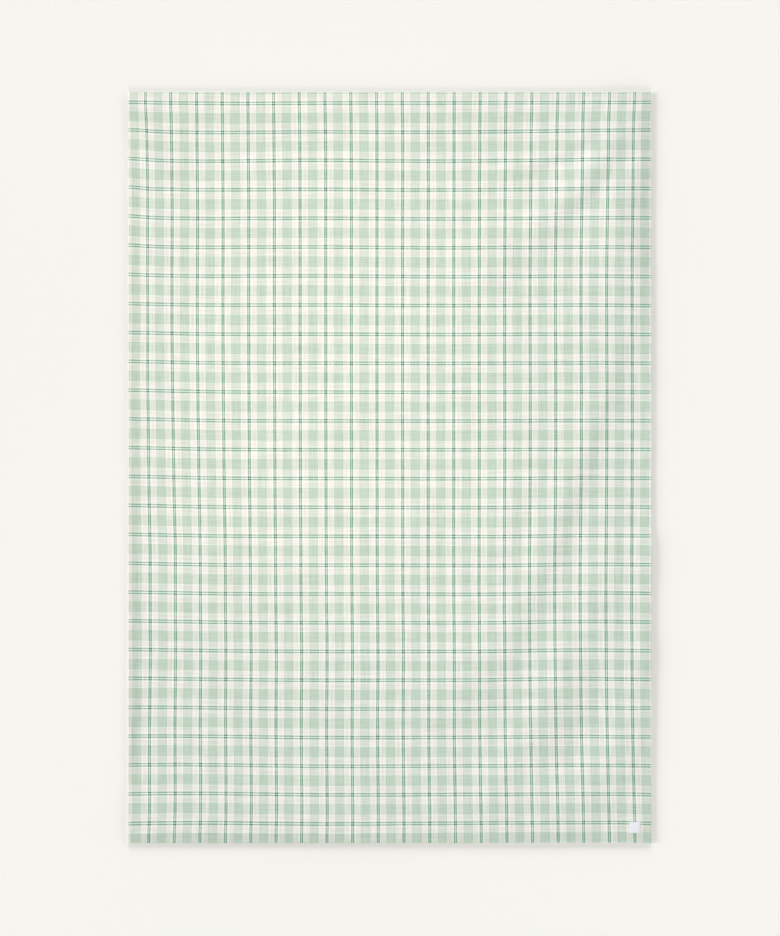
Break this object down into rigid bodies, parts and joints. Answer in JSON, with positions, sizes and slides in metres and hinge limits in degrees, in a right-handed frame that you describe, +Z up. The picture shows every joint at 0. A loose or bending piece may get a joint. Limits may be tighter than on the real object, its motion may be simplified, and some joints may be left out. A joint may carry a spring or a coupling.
{
  "type": "tablecloth",
  "caption": "Rectangular woven check tablecloth with a hem turned under all round and a small sewn-on woven label near one corner, laid out flat with low soft folds.",
  "frame": {"origin": "middle of the cloth, on the surface it lies on", "axes": "+X across the width along the weft, towards the side with the label; +Y along the length along the warp, away from the label's end; +Z up, out of the right side of the cloth"},
  "size_m": [1.4, 2.01, 0.0094],
  "materials": {
    "cloth": "matt yarn-dyed plain weave, cream with pale green blocks and fine dark green double lines",
    "label": "smooth close-woven ribbon, cool white with a slight sheen, left bare"
  },
  "bodies": {
    "root": {"cloth": "cloth", "label": "label"}
  },
  "joints": []
}
